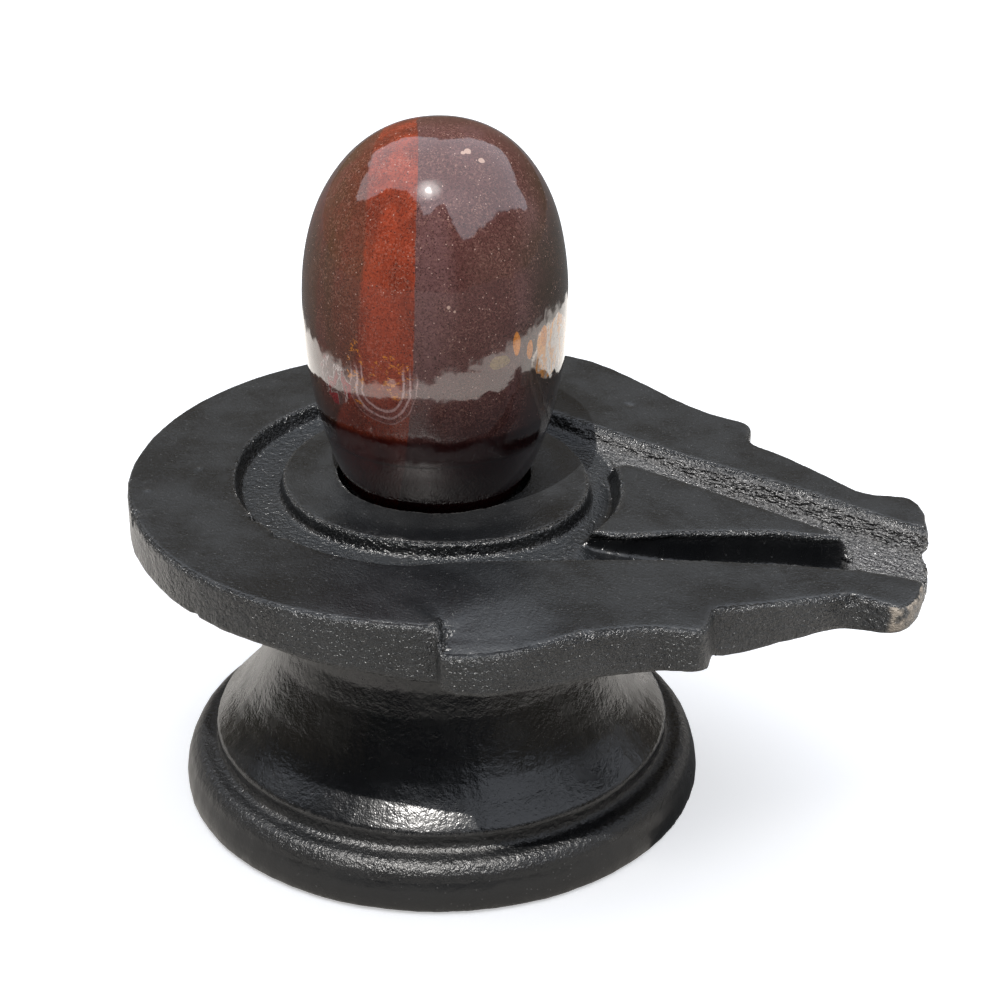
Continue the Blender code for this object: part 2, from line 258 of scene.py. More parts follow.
def find_cut(x, y, z):
    depth = top_height(x) - z
    ring = np.hypot(x, y - RING_Y) < RING_RADIUS
    between = (y > np.interp(x, TROUGH_X, TROUGH_NEAR)) & (y < np.interp(x, TROUGH_X, TROUGH_FAR))
    trough = (x > TROUGH_X[0]) & between
    socket = np.hypot(x + 0.0017, y - 0.0020) < 0.0290
    inside = (ring | trough) & ~socket & (z > UNDERSIDE_LEVEL + 0.0015) & (depth < 0.0095)
    return smooth_step(depth, 0.0008, 0.0022) * inside


def find_dry(x, y, cut):
    past_ring = smooth_step(np.hypot(x, y - RING_Y), 0.0500, 0.0530)
    far_channel = smooth_step(y, 0.004, 0.010) * smooth_step(x, 0.024, 0.034) * past_ring
    mouth = smooth_step(x, 0.1100, 0.1135)
    return cut * np.maximum(far_channel, mouth)


def find_near_channel(x, y, cut, dry):
    from_side = y - np.interp(x, TROUGH_X, TROUGH_NEAR)
    return cut * (1.0 - dry) * smooth_step(x, 0.041, 0.047) * smooth_step(from_side, 0.0012, 0.0030)


# Pale dust and painted light and shade in one measure. The groove floor's left and the collar's left and back
# are paler, where the sun falls. Below the plate it is darker, where the bell lies in shade. The top is paler
# to the left, along the spout and at the back.
def find_dust_and_light(x, y, z, up, rubbed, cut):
    collar = np.hypot(x + 0.0008, y) < 0.0425
    open_top = np.maximum(smooth_step(-x, 0.030, 0.055), smooth_step(x, 0.015, 0.045))
    open_top = 0.42 + 0.58 * np.maximum(open_top, smooth_step(y, -0.030, 0.0))
    on_collar = 0.10 + 0.85 * np.maximum(smooth_step(-x, 0.005, 0.030), smooth_step(y, -0.015, 0.005))
    floor_of_cut = (1.5 + 0.9 * smooth_step(-x, 0.0, 0.03)) * smooth_step(up, 0.80, 0.95)
    dust_and_light = np.where(z < 0.064, SHADED_BELL_DUST, WALL_DUST)
    dust_and_light = dust_and_light + (np.where(collar, on_collar, open_top) - dust_and_light) * rubbed
    return dust_and_light + (floor_of_cut - dust_and_light) * cut


points = read_points(base.data)
x, y, z = points.T
up = read_normals(base.data)[:, 2]
rubbed = find_rubbed(x, y, z, up)
cut = find_cut(x, y, z)
dry = find_dry(x, y, cut)
near_channel = find_near_channel(x, y, cut, dry)
dust_and_light = find_dust_and_light(x, y, z, up, rubbed, cut) * (1.0 - 0.9 * near_channel)
print("vertices rubbed, cut and dry:", [int((zone > 0.5).sum()) for zone in (rubbed, cut, dry)])

# %% [markdown]
# The floor of the near channel is cut up to 2.2 mm deeper, because on the real base it lies in the dark. Then
# the sharpest edges are worn further. `bulge` says how far each vertex stands out from its neighbours: it is
# high on edges and negative in corners. A vertex group from it lets a second smoothing act on edges alone.
# The edges inside the spout's channels are left out, because the tongue stands crisp between them.

# %% Deepen the near channel and wear the edges
CHANNEL_DEEPER = 0.0022


def neighbour_mean(mesh_edges, values):
    """The mean of each vertex's neighbours, for one number per vertex."""
    total = np.zeros(len(values))
    count = np.zeros(len(values))
    for one, other in ((0, 1), (1, 0)):
        np.add.at(total, mesh_edges[:, one], values[mesh_edges[:, other]])
        np.add.at(count, mesh_edges[:, one], 1.0)
    return total / np.maximum(count, 1.0)


def bulge_of(mesh, passes):
    """How far each vertex stands out from its neighbours, in parts of the voxel's size."""
    points, normals = read_points(mesh), read_normals(mesh)
    pairs = np.empty(len(mesh.edges) * 2, dtype=np.int64)
    mesh.edges.foreach_get("vertices", pairs)
    pairs = pairs.reshape(-1, 2)
    middle = np.stack([neighbour_mean(pairs, points[:, axis]) for axis in range(3)], axis=1)
    bulge = ((points - middle) * normals).sum(axis=1) / VOXEL
    for _ in range(passes):
        bulge = 0.5 * bulge + 0.5 * neighbour_mean(pairs, bulge)
    return bulge


def mark(thing, name, weights, steps=12):
    """Make a vertex group from one weight per vertex, in a few even steps."""
    group = thing.vertex_groups.new(name=name)
    levels = np.round(np.clip(weights, 0.0, 1.0) * steps).astype(int)
    for level in range(1, steps + 1):
        group.add(np.flatnonzero(levels == level).tolist(), level / steps, "REPLACE")


deep_enough = smooth_step(top_height(points[:, 0]) - points[:, 2], 0.0030, 0.0055)
points[:, 2] -= CHANNEL_DEEPER * near_channel * deep_enough
write_points(base.data, points)
sharp = smooth_step(bulge_of(base.data, 3), 0.02, 0.08) * smooth_step(points[:, 2], 0.060, 0.066)
sharp = sharp * (1.0 - cut * smooth_step(points[:, 0], 0.041, 0.047))
mark(base, "sharp_edges", sharp)
apply_modifier(base, "SMOOTH", factor=0.5, iterations=5, vertex_group="sharp_edges")
base.vertex_groups.clear()
bulge = bulge_of(base.data, 2)
print("bulge from", round(bulge.min(), 2), "to", round(bulge.max(), 2))

# %% [markdown]
# Handwork is never even. It could be sculpted, but displacement by soft cloud noise covers the whole base at
# once: a long and a short wave for the faces, a finer noise that chips the edges, and one that leaves the
# bumps of the chisel in the dry channels. Each acts only where it should, through a vertex group. The noise
# is a procedural texture, so it needs no picture and comes out the same each time.

# %% Waves, chips and chisel marks
# name, size and depth of the noise, contrast, vertex group, strength, level that leaves the skin in place
UNEVENNESS = [
    ("long_waves", 0.016, 1, 1.0, "plain", 0.0007, 0.60),
    ("short_waves", 0.0032, 2, 1.0, "plain", 0.00022, 0.55),
    ("edge_chips", 0.0020, 2, 1.8, "edges", 0.0012, 0.70),
    ("chisel_bumps", 0.0016, 1, 1.5, "dry", 0.0005, 0.50),
]


def displace(thing, name, size, depth, contrast, group, strength, level):
    """Push the skin in and out along its normals by a cloud noise."""
    texture = bpy.data.textures.new(name, "CLOUDS")
    texture.noise_scale = size
    texture.noise_depth = depth
    texture.contrast = contrast
    apply_modifier(thing, "DISPLACE", texture=texture, texture_coords="LOCAL", direction="NORMAL",
                   vertex_group=group, strength=strength, mid_level=level)


mark(base, "edges", smooth_step(bulge, 0.06, 0.20))
mark(base, "dry", dry)
mark(base, "plain", (1.0 - cut) * (1.0 - 0.75 * rubbed) * np.where(points[:, 2] < 0.066, 0.6, 1.0))
for unevenness in UNEVENNESS:
    displace(base, *unevenness)
base.vertex_groups.clear()
print("unevenness added:", [unevenness[0] for unevenness in UNEVENNESS])

# %% [markdown]
# The photo shows a few single blows and knots. Noise can't put them in the right places, so each is written
# down with its place, its radius and its push, which moves the skin in or out with a soft edge.

# %% Dents and knots
# (x, y, z) in metres, radius, push
DENTS = [
    ((-0.0749, -0.0390, 0.0935), 0.0026, (0.0008, 0.0004, -0.0011)),
    ((-0.0500, -0.0680, 0.0828), 0.0022, (0.0003, 0.0005, 0.0003)),
    ((-0.0478, -0.0226, 0.0948), 0.0030, (-0.0006, 0.0001, -0.0010)),
    ((-0.0420, -0.0352, 0.0950), 0.0026, (-0.0003, -0.0003, -0.0009)),
    ((-0.0335, -0.0432, 0.0950), 0.0030, (-0.0002, -0.0004, -0.0010)),
    ((0.0523, -0.0730, 0.0898), 0.0018, (0.0, 0.0004, -0.0006)),
    ((0.1148, -0.0298, 0.0822), 0.0022, (-0.0004, 0.0011, -0.0002)),
    ((0.0450, 0.0594, 0.0915), 0.0018, (0.0, 0.0, -0.0005)),
    ((-0.0747, -0.0251, 0.0948), 0.0016, (-0.0002, -0.0003, 0.0003)),
    ((-0.0647, -0.0097, 0.0948), 0.0016, (-0.0002, -0.0003, 0.0003)),
]


def press(points, place, radius, push):
    distance = np.linalg.norm(points - np.array(place), axis=1) / radius
    soft = np.clip(1.0 - distance ** 2, 0.0, 1.0) ** 1.5
    return points + soft[:, None] * np.array(push)


points = read_points(base.data)
for place, radius, push in DENTS:
    points = press(points, place, radius, push)
write_points(base.data, points)
print(len(DENTS), "dents pressed")

# %% [markdown]
# The stone stands close in its socket, with only a thin dark line round it. The CAD socket has more room, so
# the rim of its mouth is drawn in towards the stone. The push fades out with the distance and the depth.

# %% Draw the socket's rim in
SOCKET_MIDDLE = np.array((-0.0014, 0.0021))
SOCKET_RIM, CLOSER_RIM = 0.0280, 0.0265
DRAWN_FROM, DRAWN_TO = 0.0250, 0.0340

points = read_points(base.data)
outwards = points[:, :2] - SOCKET_MIDDLE
distance = np.linalg.norm(outwards, axis=1)
drawn = smooth_step(points[:, 2], 0.0900, 0.0940)
drawn = drawn * (1.0 - smooth_step(distance, SOCKET_RIM + 0.0005, DRAWN_TO)) * (distance > DRAWN_FROM)
points[:, :2] -= outwards / distance[:, None].clip(0.001) * (drawn * (SOCKET_RIM - CLOSER_RIM))[:, None]
write_points(base.data, points)
print("rim drawn in:", int((drawn > 0.5).sum()), "vertices")

# %% [markdown]
# The even skin has far more faces than flat places need. Decimate collapses those and keeps the edges and
# chisel marks. What was measured is stored on the mesh first, so that the material can read it. `edge_wear`
# and `hollow` come from a last measure of the bulge, after all chips and dents. At the end all points are
# kept a hair's breadth inside the CAD box.

# %% Store the measures and lighten the mesh
FACE_LIMIT = 190000
INSIDE_BOX = 0.00001

bulge = bulge_of(base.data, 3)
MEASURES = {"edge_wear": smooth_step(bulge, 0.03, 0.16), "hollow": smooth_step(-bulge, 0.02, 0.14),
            "rubbed": rubbed, "cut": cut, "dry": dry, "dust_and_light": dust_and_light, "near_channel": near_channel}
for name, values in MEASURES.items():
    measure = base.data.attributes.new(name, "FLOAT", "POINT")
    measure.data.foreach_set("value", values.astype(np.float32))
apply_modifier(base, "DECIMATE", ratio=min(1.0, FACE_LIMIT / (2.0 * len(base.data.polygons))))
low, high = np.array(cad_box[0]), np.array(cad_box[1])
write_points(base.data, np.clip(read_points(base.data), low + INSIDE_BOX, high - INSIDE_BOX))
base.data.shade_smooth()
triangles = sum(len(face.vertices) - 2 for face in base.data.polygons)
print("base:", triangles, "triangles, measures:", list(MEASURES))

# %% [markdown]
# ## The stone: a smooth egg that is not quite even
#
# The stone could be an egg from a formula, but the CAD node already has the right shape. Its triangles are
# joined into quads, two levels of subdivision round the facets away, and a very soft displacement gives it
# the slow unevenness that a hand-ground stone has. That is what makes reflections on it ripple.

# %% Subdivide the stone
QUAD_ANGLE = math.radians(60.0)

stone = merged_copy("lingam_stone", "river_stone")
only(stone)
bpy.ops.object.mode_set(mode="EDIT")
bpy.ops.mesh.select_all(action="SELECT")
bpy.ops.mesh.tris_convert_to_quads(face_threshold=QUAD_ANGLE, shape_threshold=QUAD_ANGLE)
bpy.ops.object.mode_set(mode="OBJECT")
apply_modifier(stone, "SUBSURF", levels=2, render_levels=2)
displace(stone, "grinding", 0.030, 1, 1.0, "", 0.0006, 1.0)
stone.data.shade_smooth()
print("stone:", len(stone.data.polygons), "faces")

# %% [markdown]
# ## Nodes in a few words
#
# A material here is a network of small nodes. It could be drawn by hand in the shader editor, but then it
# can't be read as text. So one helper adds a node, sets it and links what goes into it, and short names stand
# for the nodes that are used most. `rise` is a soft step, `times` a product, `adjust` adds zones to a value,
# and `paint` lays a colour over another one where a mask says so.

# %% Helpers for nodes


def feed(tree, node, inputs):
    """Give a node its inputs: a socket is linked, a plain value is set."""
    for name, value in inputs.items():
        if isinstance(value, bpy.types.NodeSocket):
            tree.links.new(value, node.inputs[name])
        else:
            node.inputs[name].default_value = value


def add_node(tree, kind, inputs=None, **settings):
    made = tree.nodes.new(kind)
    for name, value in settings.items():
        setattr(made, name, value)
    feed(tree, made, inputs or {})
    return made


def math_node(tree, operation, first, second=0.0, third=0.0):
    return add_node(tree, "ShaderNodeMath", {0: first, 1: second, 2: third}, operation=operation).outputs[0]


def times(tree, *values):
    """The product of some values."""
    product = values[0]
    for value in values[1:]:
        product = math_node(tree, "MULTIPLY", product, value)
    return product


def minus(tree, first, second):
    return math_node(tree, "SUBTRACT", first, second)


def adjust(tree, value, *zones):
    """Add zones to a value, each given as (mask, amount)."""
    for mask, amount in zones:
        value = math_node(tree, "MULTIPLY_ADD", mask, amount, value)
    return value


def rise(tree, value, start, end, low=0.0, high=1.0):
    """A soft step of the value, from low at start to high at end."""
    inputs = {"Value": value, "From Min": start, "From Max": end, "To Min": low, "To Max": high}
    return add_node(tree, "ShaderNodeMapRange", inputs, interpolation_type="SMOOTHSTEP").outputs[0]


def noise(tree, vector, scale, detail=2.0, roughness=0.5, distortion=0.0):
    inputs = dict(Vector=vector, Scale=scale, Detail=detail, Roughness=roughness, Distortion=distortion)
    return add_node(tree, "ShaderNodeTexNoise", inputs).outputs["Fac"]


def mix_color(tree, factor, first, second, blend="MIX"):
    made = add_node(tree, "ShaderNodeMix", {"Factor": factor}, data_type="RGBA", blend_type=blend)
    for socket, value in ((made.inputs[6], first), (made.inputs[7], second)):
        if isinstance(value, bpy.types.NodeSocket):
            tree.links.new(value, socket)
        else:
            socket.default_value = (*value, 1.0)
    return made.outputs[2]


def paint(tree, color, mask, amount, new_color):
    return mix_color(tree, times(tree, mask, amount), color, new_color)


def stretch(tree, vector, scale=(1.0, 1.0, 1.0), location=(0.0, 0.0, 0.0)):
    inputs = {"Vector": vector, "Scale": scale, "Location": location}
    return add_node(tree, "ShaderNodeMapping", inputs).outputs[0]


def length_of(tree, vector):
    return add_node(tree, "ShaderNodeVectorMath", {0: vector}, operation="LENGTH").outputs["Value"]


def new_material(name):
    """A new material, its tree, its shader and the place of a point in the object's own coordinates."""
    material = bpy.data.materials.new(name)
    material.use_nodes = True
    tree = material.node_tree
    place = add_node(tree, "ShaderNodeTexCoord").outputs["Object"]
    return material, tree, tree.nodes["Principled BSDF"], place


print("helpers for nodes are ready")

# %% [markdown]
# ## Shared effects
#
# Both stones are full of grains: each is a tiny cell that is lighter or darker than the rest. Real grains
# could be a picture, but a Voronoi texture never repeats and has no seams. It gives every cell a random
# colour, and only the cells with a low enough random value are kept. Both materials need grains, in
# different sizes, so they are made once, as a node group with named sockets.

# %% The grain group


def new_group(name, output, **numbers):
    """An empty node group with named sockets: a vector and some numbers go in, and one number comes out."""
    group = bpy.data.node_groups.new(name, "ShaderNodeTree")
    group.interface.new_socket("Vector", in_out="INPUT", socket_type="NodeSocketVector")
    for label, value in numbers.items():
        socket = group.interface.new_socket(label, in_out="INPUT", socket_type="NodeSocketFloat")
        socket.default_value = value
    group.interface.new_socket(output, in_out="OUTPUT", socket_type="NodeSocketFloat")
    return group, group.nodes.new("NodeGroupInput").outputs, group.nodes.new("NodeGroupOutput").inputs


def use_group(tree, group, **inputs):
    """Put a node group into a tree, and give its first output."""
    made = tree.nodes.new("ShaderNodeGroup")
    made.node_tree = group
    feed(tree, made, inputs)
    return made.outputs[0]


grain_group, entry, leave = new_group("stone grain", "Grains", Scale=1500.0, Share=0.1, Size=0.35)
cells = add_node(grain_group, "ShaderNodeTexVoronoi", {"Vector": entry["Vector"], "Scale": entry["Scale"]})
chance = add_node(grain_group, "ShaderNodeSeparateColor", {"Color": cells.outputs["Color"]}).outputs[0]
chosen = math_node(grain_group, "LESS_THAN", chance, entry["Share"])
near = math_node(grain_group, "LESS_THAN", cells.outputs["Distance"], entry["Size"])
grain_group.links.new(times(grain_group, chosen, near), leave["Grains"])
print("group:", grain_group.name)

# %% [markdown]
# Jasper also shows short, bent, hair-thin veins. Curves could be drawn one by one, but there are hundreds.
# Where a noise passes through its middle value it draws long closed lines, like the height lines of a map.
# A second noise breaks them into short pieces.

# %% The hairline group
hair_group, entry, leave = new_group("hairlines", "Lines", Scale=620.0, Width=0.06)
heights = noise(hair_group, entry["Vector"], entry["Scale"], 2.5, 0.6, 1.0)
off_middle = math_node(hair_group, "ABSOLUTE", minus(hair_group, heights, 0.5))
thin = rise(hair_group, off_middle, entry["Width"], 0.0)
break_scale = times(hair_group, entry["Scale"], 1.7)
broken = rise(hair_group, noise(hair_group, entry["Vector"], break_scale, 1.0), 0.48, 0.58)
hair_group.links.new(times(hair_group, thin, broken), leave["Lines"])
print("group:", hair_group.name)

# %% [markdown]
# The oiled skin of the base looks like orange peel in a low light. A single noise looks too soft for that, so
# two sizes of it are added up.

# %% The orange peel group
peel_group, entry, leave = new_group("orange peel", "Height", Scale=700.0, Fine=0.4)
coarse = noise(peel_group, entry["Vector"], entry["Scale"], 1.5, 0.45)
fine = noise(peel_group, entry["Vector"], times(peel_group, entry["Scale"], 3.1), 1.0, 0.5)
peel_group.links.new(adjust(peel_group, coarse, (fine, entry["Fine"])), leave["Height"])
print("group:", peel_group.name)

# %% [markdown]
# ## The black stone
#
# Oiled black stone is almost as dark as coal, so what one sees of it is mostly reflection. Its look is made
# by the gloss and the bumps more than by the colour: the rubbed top is fine and even, the walls are matt and
# pitted, and the chiselled channels glitter. A material for each region would leave hard borders. So one
# material reads the measures from the mesh, and the height tells bell, roll and foot apart.

# %% The black stone: where its finishes lie
black_stone, tree, shader, place = new_material("oiled_black_stone")
split = add_node(tree, "ShaderNodeSeparateXYZ", {"Vector": place}).outputs
wear, hollow, rubbed_zone, cut_zone, dry_zone, dust_and_light_zone, near_zone = [
    add_node(tree, "ShaderNodeAttribute", attribute_name=name).outputs["Fac"]
    for name in ("edge_wear", "hollow", "rubbed", "cut", "dry", "dust_and_light", "near_channel")]
elsewhere = minus(tree, 1.0, near_zone)
below_plate = rise(tree, split["Z"], 0.0730, 0.0600)
foot_wall = rise(tree, split["Z"], 0.0115, 0.0090)
bell_zone = times(tree, below_plate, rise(tree, split["Z"], 0.0150, 0.0200))
on_roll = minus(tree, minus(tree, below_plate, foot_wall), bell_zone)
from_stone = length_of(tree, stretch(tree, place, (1.0, 1.0, 0.0)))
round_stone = times(tree, rise(tree, from_stone, 0.0370, 0.0310), rubbed_zone)
clouds = noise(tree, place, 60.0, 3.0, 0.62)
grit = noise(tree, place, 1500.0, 2.0, 0.6)
print("black stone: measures read from", base.name)

# %% [markdown]
# The colour is built up in layers. First the oiled stone, then pale dust together with painted light and
# shade, broken up by clouds and grit, and a few pale grains. Brown lees of oil stay in the hollows. The dry
# channels are grey, the edges are painted lighter, as worn edges and as a painted glint, and at the near tip
# of the spout the raw stone shows.

# %% The black stone: colour
OILED = (0.0016, 0.0018, 0.0022)
DUST_AND_LIGHT_TONE = (0.0096, 0.0107, 0.0119)
PALE_GRAIN = (0.110, 0.110, 0.112)
LEES = (0.060, 0.052, 0.044)
DRY = (0.078, 0.078, 0.079)
WORN_EDGE_GLINT = (0.120, 0.117, 0.114)
RAW = (0.150, 0.130, 0.108)

# Pale dust and painted light and shade: this lightens the sunlit groove floor and collar and keeps the shaded
# bell dark.
dust_and_light_amount = times(tree, dust_and_light_zone, rise(tree, clouds, 0.32, 0.70, 0.50, 1.30))
dust_and_light_amount = times(tree, dust_and_light_amount, rise(tree, grit, 0.30, 0.70, 0.70, 1.30))
color = mix_color(tree, dust_and_light_amount, OILED, DUST_AND_LIGHT_TONE)
grains = use_group(tree, grain_group, Vector=place, Scale=1900.0, Share=0.030, Size=0.38)
color = paint(tree, color, times(tree, grains, elsewhere), 0.24, PALE_GRAIN)
lees = times(tree, hollow, elsewhere, rise(tree, clouds, 0.42, 0.62))
color = paint(tree, color, lees, 0.25, LEES)
color = paint(tree, color, dry_zone, rise(tree, grit, 0.32, 0.62), DRY)
# Convex edges are painted lighter: partly real wear, partly a painted glint of the sun.
worn_glint_edge = times(tree, wear, rise(tree, grit, 0.42, 0.58), elsewhere)
color = paint(tree, color, worn_glint_edge, 0.70, WORN_EDGE_GLINT)
tip = times(tree, rise(tree, split["X"], 0.1238, 0.1258), rise(tree, split["Y"], -0.0150, -0.0180))
tip = times(tree, tip, rise(tree, rubbed_zone, 0.4, 0.1))
tip = times(tree, tip, rise(tree, noise(tree, place, 260.0, 2.0, 0.65), 0.36, 0.56))
color = mix_color(tree, tip, color, RAW)
tree.links.new(color, shader.inputs["Base Color"])
print("black stone: colour made with", len(tree.nodes), "nodes")

# %% [markdown]
# The gloss differs from place to place too. Hands and cloth have polished the edges, so they glint. The bell
# is a little glossier than the plate, the roll above the foot a little duller, and the collar round the stone
# is dulled by what runs down and dries there. The raw tip has no oil and is matt.

# %% The black stone: gloss
GLOSSIEST = 0.12

roughness = rise(tree, clouds, 0.35, 0.70, 0.27, 0.37)
roughness = adjust(tree, roughness, (bell_zone, -0.05), (on_roll, 0.08), (cut_zone, -0.04), (dry_zone, 0.02),
                   (wear, -0.26))
roughness = math_node(tree, "MAXIMUM", roughness, GLOSSIEST)
roughness = adjust(tree, roughness, (round_stone, 0.14), (tip, 0.30))
tree.links.new(roughness, shader.inputs["Roughness"])
shader.inputs["IOR"].default_value = 1.50
print("black stone: gloss made, never below a roughness of", GLOSSIEST)

# %% [markdown]
# The fine relief is too small for the mesh, so it is a bump. It adds up the orange peel, the chisel's ridges
# that run along the channel, long scars on the walls, pits and grit, each strong in one zone and weak in the
# others. Heights are in millimetres, which is what the distance of 0.001 says.

# %% The black stone: relief
CHANNEL_HEADING = math.radians(-17.5)
CHISEL_MARK = (0.0030, 0.0012, 0.0012)
SMOOTHEST_PEEL = 0.04


def bump(tree, height, strength, distance):
    inputs = {"Height": height, "Strength": strength, "Distance": distance}
    return add_node(tree, "ShaderNodeBump", inputs)


peel = use_group(tree, peel_group, Vector=place, Scale=820.0, Fine=0.50)
peel_amount = adjust(tree, 1.0, (rubbed_zone, -0.90), (below_plate, -0.87), (on_roll, 0.30))
peel_amount = adjust(tree, peel_amount, (foot_wall, -0.07), (wear, -0.70))
peel_amount = math_node(tree, "MAXIMUM", peel_amount, SMOOTHEST_PEEL)
peel_amount = adjust(tree, peel_amount, (cut_zone, -0.35), (near_zone, -0.55))
along_channel = {"Vector": place, "Rotation": (0.0, 0.0, CHANNEL_HEADING), "Scale": CHISEL_MARK}
along_channel = add_node(tree, "ShaderNodeMapping", along_channel, vector_type="TEXTURE").outputs[0]
chisel = noise(tree, along_channel, 1.0, 2.0, 0.6)
scars = rise(tree, noise(tree, stretch(tree, place, (420.0, 420.0, 130.0)), 1.0, 1.0), 0.64, 0.70)
scars = times(tree, scars, minus(tree, 1.0, rubbed_zone))
scars = times(tree, scars, minus(tree, 1.0, below_plate))
pits = use_group(tree, grain_group, Vector=place, Scale=620.0, Share=0.06, Size=0.24)
grit_amount = times(tree, adjust(tree, 0.15, (below_plate, -0.13)), elsewhere)
relief = times(tree, peel, peel_amount, 0.90)
relief = adjust(tree, relief, (times(tree, chisel, dry_zone), 3.20), (scars, -0.16), (pits, -0.15))
relief = adjust(tree, relief, (grit, grit_amount), (worn_glint_edge, 0.25))
tree.links.new(bump(tree, relief, 1.0, 0.001).outputs["Normal"], shader.inputs["Normal"])
print("black stone:", len(tree.nodes), "nodes")

# %% [markdown]
# ## The river stone
#
# Its colours are layers of jasper that were cut through by the grinding. They could be painted on a UV map,
# but then the back would be made up. So they are made as layers of space: a brick-red one between two nearly
# flat faces, sharp on one side and soft on the other, with olive-brown stone to the left and purple-brown
# stone to the right of it. All is measured in millimetres from the object's own axis, so the layer runs right
# through and comes out at the back.

# %% River stone: the layers
MILLIMETRES = 1000.0
OLIVE = (0.050, 0.0215, 0.0105)
OLIVE_RED = (0.070, 0.0190, 0.0125)
BESIDE_BRICK = (0.080, 0.0205, 0.0130)
PURPLE = (0.052, 0.0205, 0.0185)
GREY_PURPLE = (0.072, 0.036, 0.036)
DARK_OLIVE = (0.026, 0.016, 0.009)
BRICK = (0.150, 0.0250, 0.0110)
BRICK_DARK = (0.085, 0.0170, 0.0090)
# heights where the sharp face starts to bend, and where the red layer is narrowest
BEND, NARROWEST = 160.0, 169.0

river_stone, tree, shader, place = new_material("polished_river_stone")
split = add_node(tree, "ShaderNodeSeparateXYZ", {"Vector": place}).outputs
x, y, z = [times(tree, split[axis], MILLIMETRES) for axis in ("X", "Y", "Z")]


def signed_noise(tree, scale, amount, detail=2.0):
    """Noise around 0, with about this amount in millimetres."""
    return math_node(tree, "MULTIPLY_ADD", noise(tree, place, scale, detail), 2.0 * amount, -amount)


def wavy(tree, value, scale, amount):
    """A value in millimetres, bent by noise."""
    return math_node(tree, "ADD", value, signed_noise(tree, scale, amount))


def long_noise(tree, across, up, detail=4.0, roughness=0.5):
    """Noise that is drawn out along the stone's height."""
    return noise(tree, stretch(tree, place, (across, across, up)), 1.0, detail, roughness)


left = mix_color(tree, rise(tree, long_noise(tree, 70.0, 14.0, 4.0, 0.6), 0.50, 0.70), OLIVE, OLIVE_RED)
left = paint(tree, left, rise(tree, wavy(tree, x, 60.0, 4.0), -23.0, -14.0), 0.65, BESIDE_BRICK)
right = mix_color(tree, rise(tree, long_noise(tree, 60.0, 10.0), 0.40, 0.66), PURPLE, GREY_PURPLE)
right = mix_color(tree, rise(tree, wavy(tree, x, 70.0, 5.0), 24.0, 33.0), right, DARK_OLIVE)
brick = mix_color(tree, rise(tree, long_noise(tree, 160.0, 30.0), 0.40, 0.68), BRICK, BRICK_DARK)

depth_in = math_node(tree, "ADD", math_node(tree, "MINIMUM", y, 4.0), 31.0)
sharp_face = adjust(tree, 1.2, (times(tree, depth_in, depth_in), -0.0028), (depth_in, -0.09))
below_bend = math_node(tree, "MINIMUM", minus(tree, z, BEND), 0.0)
sharp_face = adjust(tree, sharp_face, (times(tree, below_bend, below_bend), -0.0016))
sharp_face = wavy(tree, sharp_face, 300.0, 0.35)
from_narrowest = minus(tree, z, NARROWEST)
soft_face = adjust(tree, -12.5, (times(tree, from_narrowest, from_narrowest), -0.0038))
soft_face = wavy(tree, soft_face, 150.0, 1.1)
color = mix_color(tree, rise(tree, minus(tree, x, soft_face), -0.7, 0.7), left, brick)
color = mix_color(tree, rise(tree, minus(tree, x, sharp_face), -0.15, 0.15), color, right)
print("river stone: three layers,", len(tree.nodes), "nodes")

# %% [markdown]
# Agate bands lie low on the front. A wave texture gives straight or round bands only. These are rings round
# one point, stretched into a U: below the point the true distance counts, above it only the distance
# sideways. A sine of the distance makes the lines, and noise bends them.

# %% River stone: the agate bands
BAND_CENTER = (-7.6, 133.2)
RADIANS_PER_MM = 3.5
INNER_RED = (0.100, 0.0240, 0.0180)
BAND_MAUVE = (0.090, 0.036, 0.034)
BAND_PALE = (0.290, 0.200, 0.200)

sideways = wavy(tree, minus(tree, x, BAND_CENTER[0]), 110.0, 1.5)
down = math_node(tree, "MINIMUM", minus(tree, z, BAND_CENTER[1]), 0.0)
down = math_node(tree, "MULTIPLY_ADD", down, 0.92, signed_noise(tree, 130.0, 0.8))
reach = math_node(tree, "ADD", times(tree, sideways, sideways), times(tree, down, down))
reach = math_node(tree, "SQRT", reach)
waver = signed_noise(tree, 210.0, 1.6, 3.0)
lines = math_node(tree, "SINE", math_node(tree, "MULTIPLY_ADD", reach, RADIANS_PER_MM, waver))
front = rise(tree, y, -18.0, -24.0)
low_down = wavy(tree, z, 90.0, 5.0)
band_zone = times(tree, rise(tree, reach, 5.0, 5.6), rise(tree, reach, 9.6, 9.0))
band_zone = times(tree, band_zone, rise(tree, low_down, 141.0, 136.0), front)
inner = times(tree, rise(tree, reach, 6.2, 5.0), rise(tree, low_down, 134.0, 129.0), front)
color = paint(tree, color, inner, 0.70, INNER_RED)
color = paint(tree, color, band_zone, 0.65, BAND_MAUVE)
color = paint(tree, color, times(tree, rise(tree, lines, 0.15, 0.85), band_zone), 0.75, BAND_PALE)
print("river stone: bands round", BAND_CENTER)

# %% [markdown]
# Flecks, flames and the pale patch are each a soft egg of space with its edge torn up by noise, which is
# easier to place than a pattern that covers the whole stone. Yellow flecks lie low in the red layer, crimson
# flames with pale rims to the left of it, and a white and orange patch far to the right.

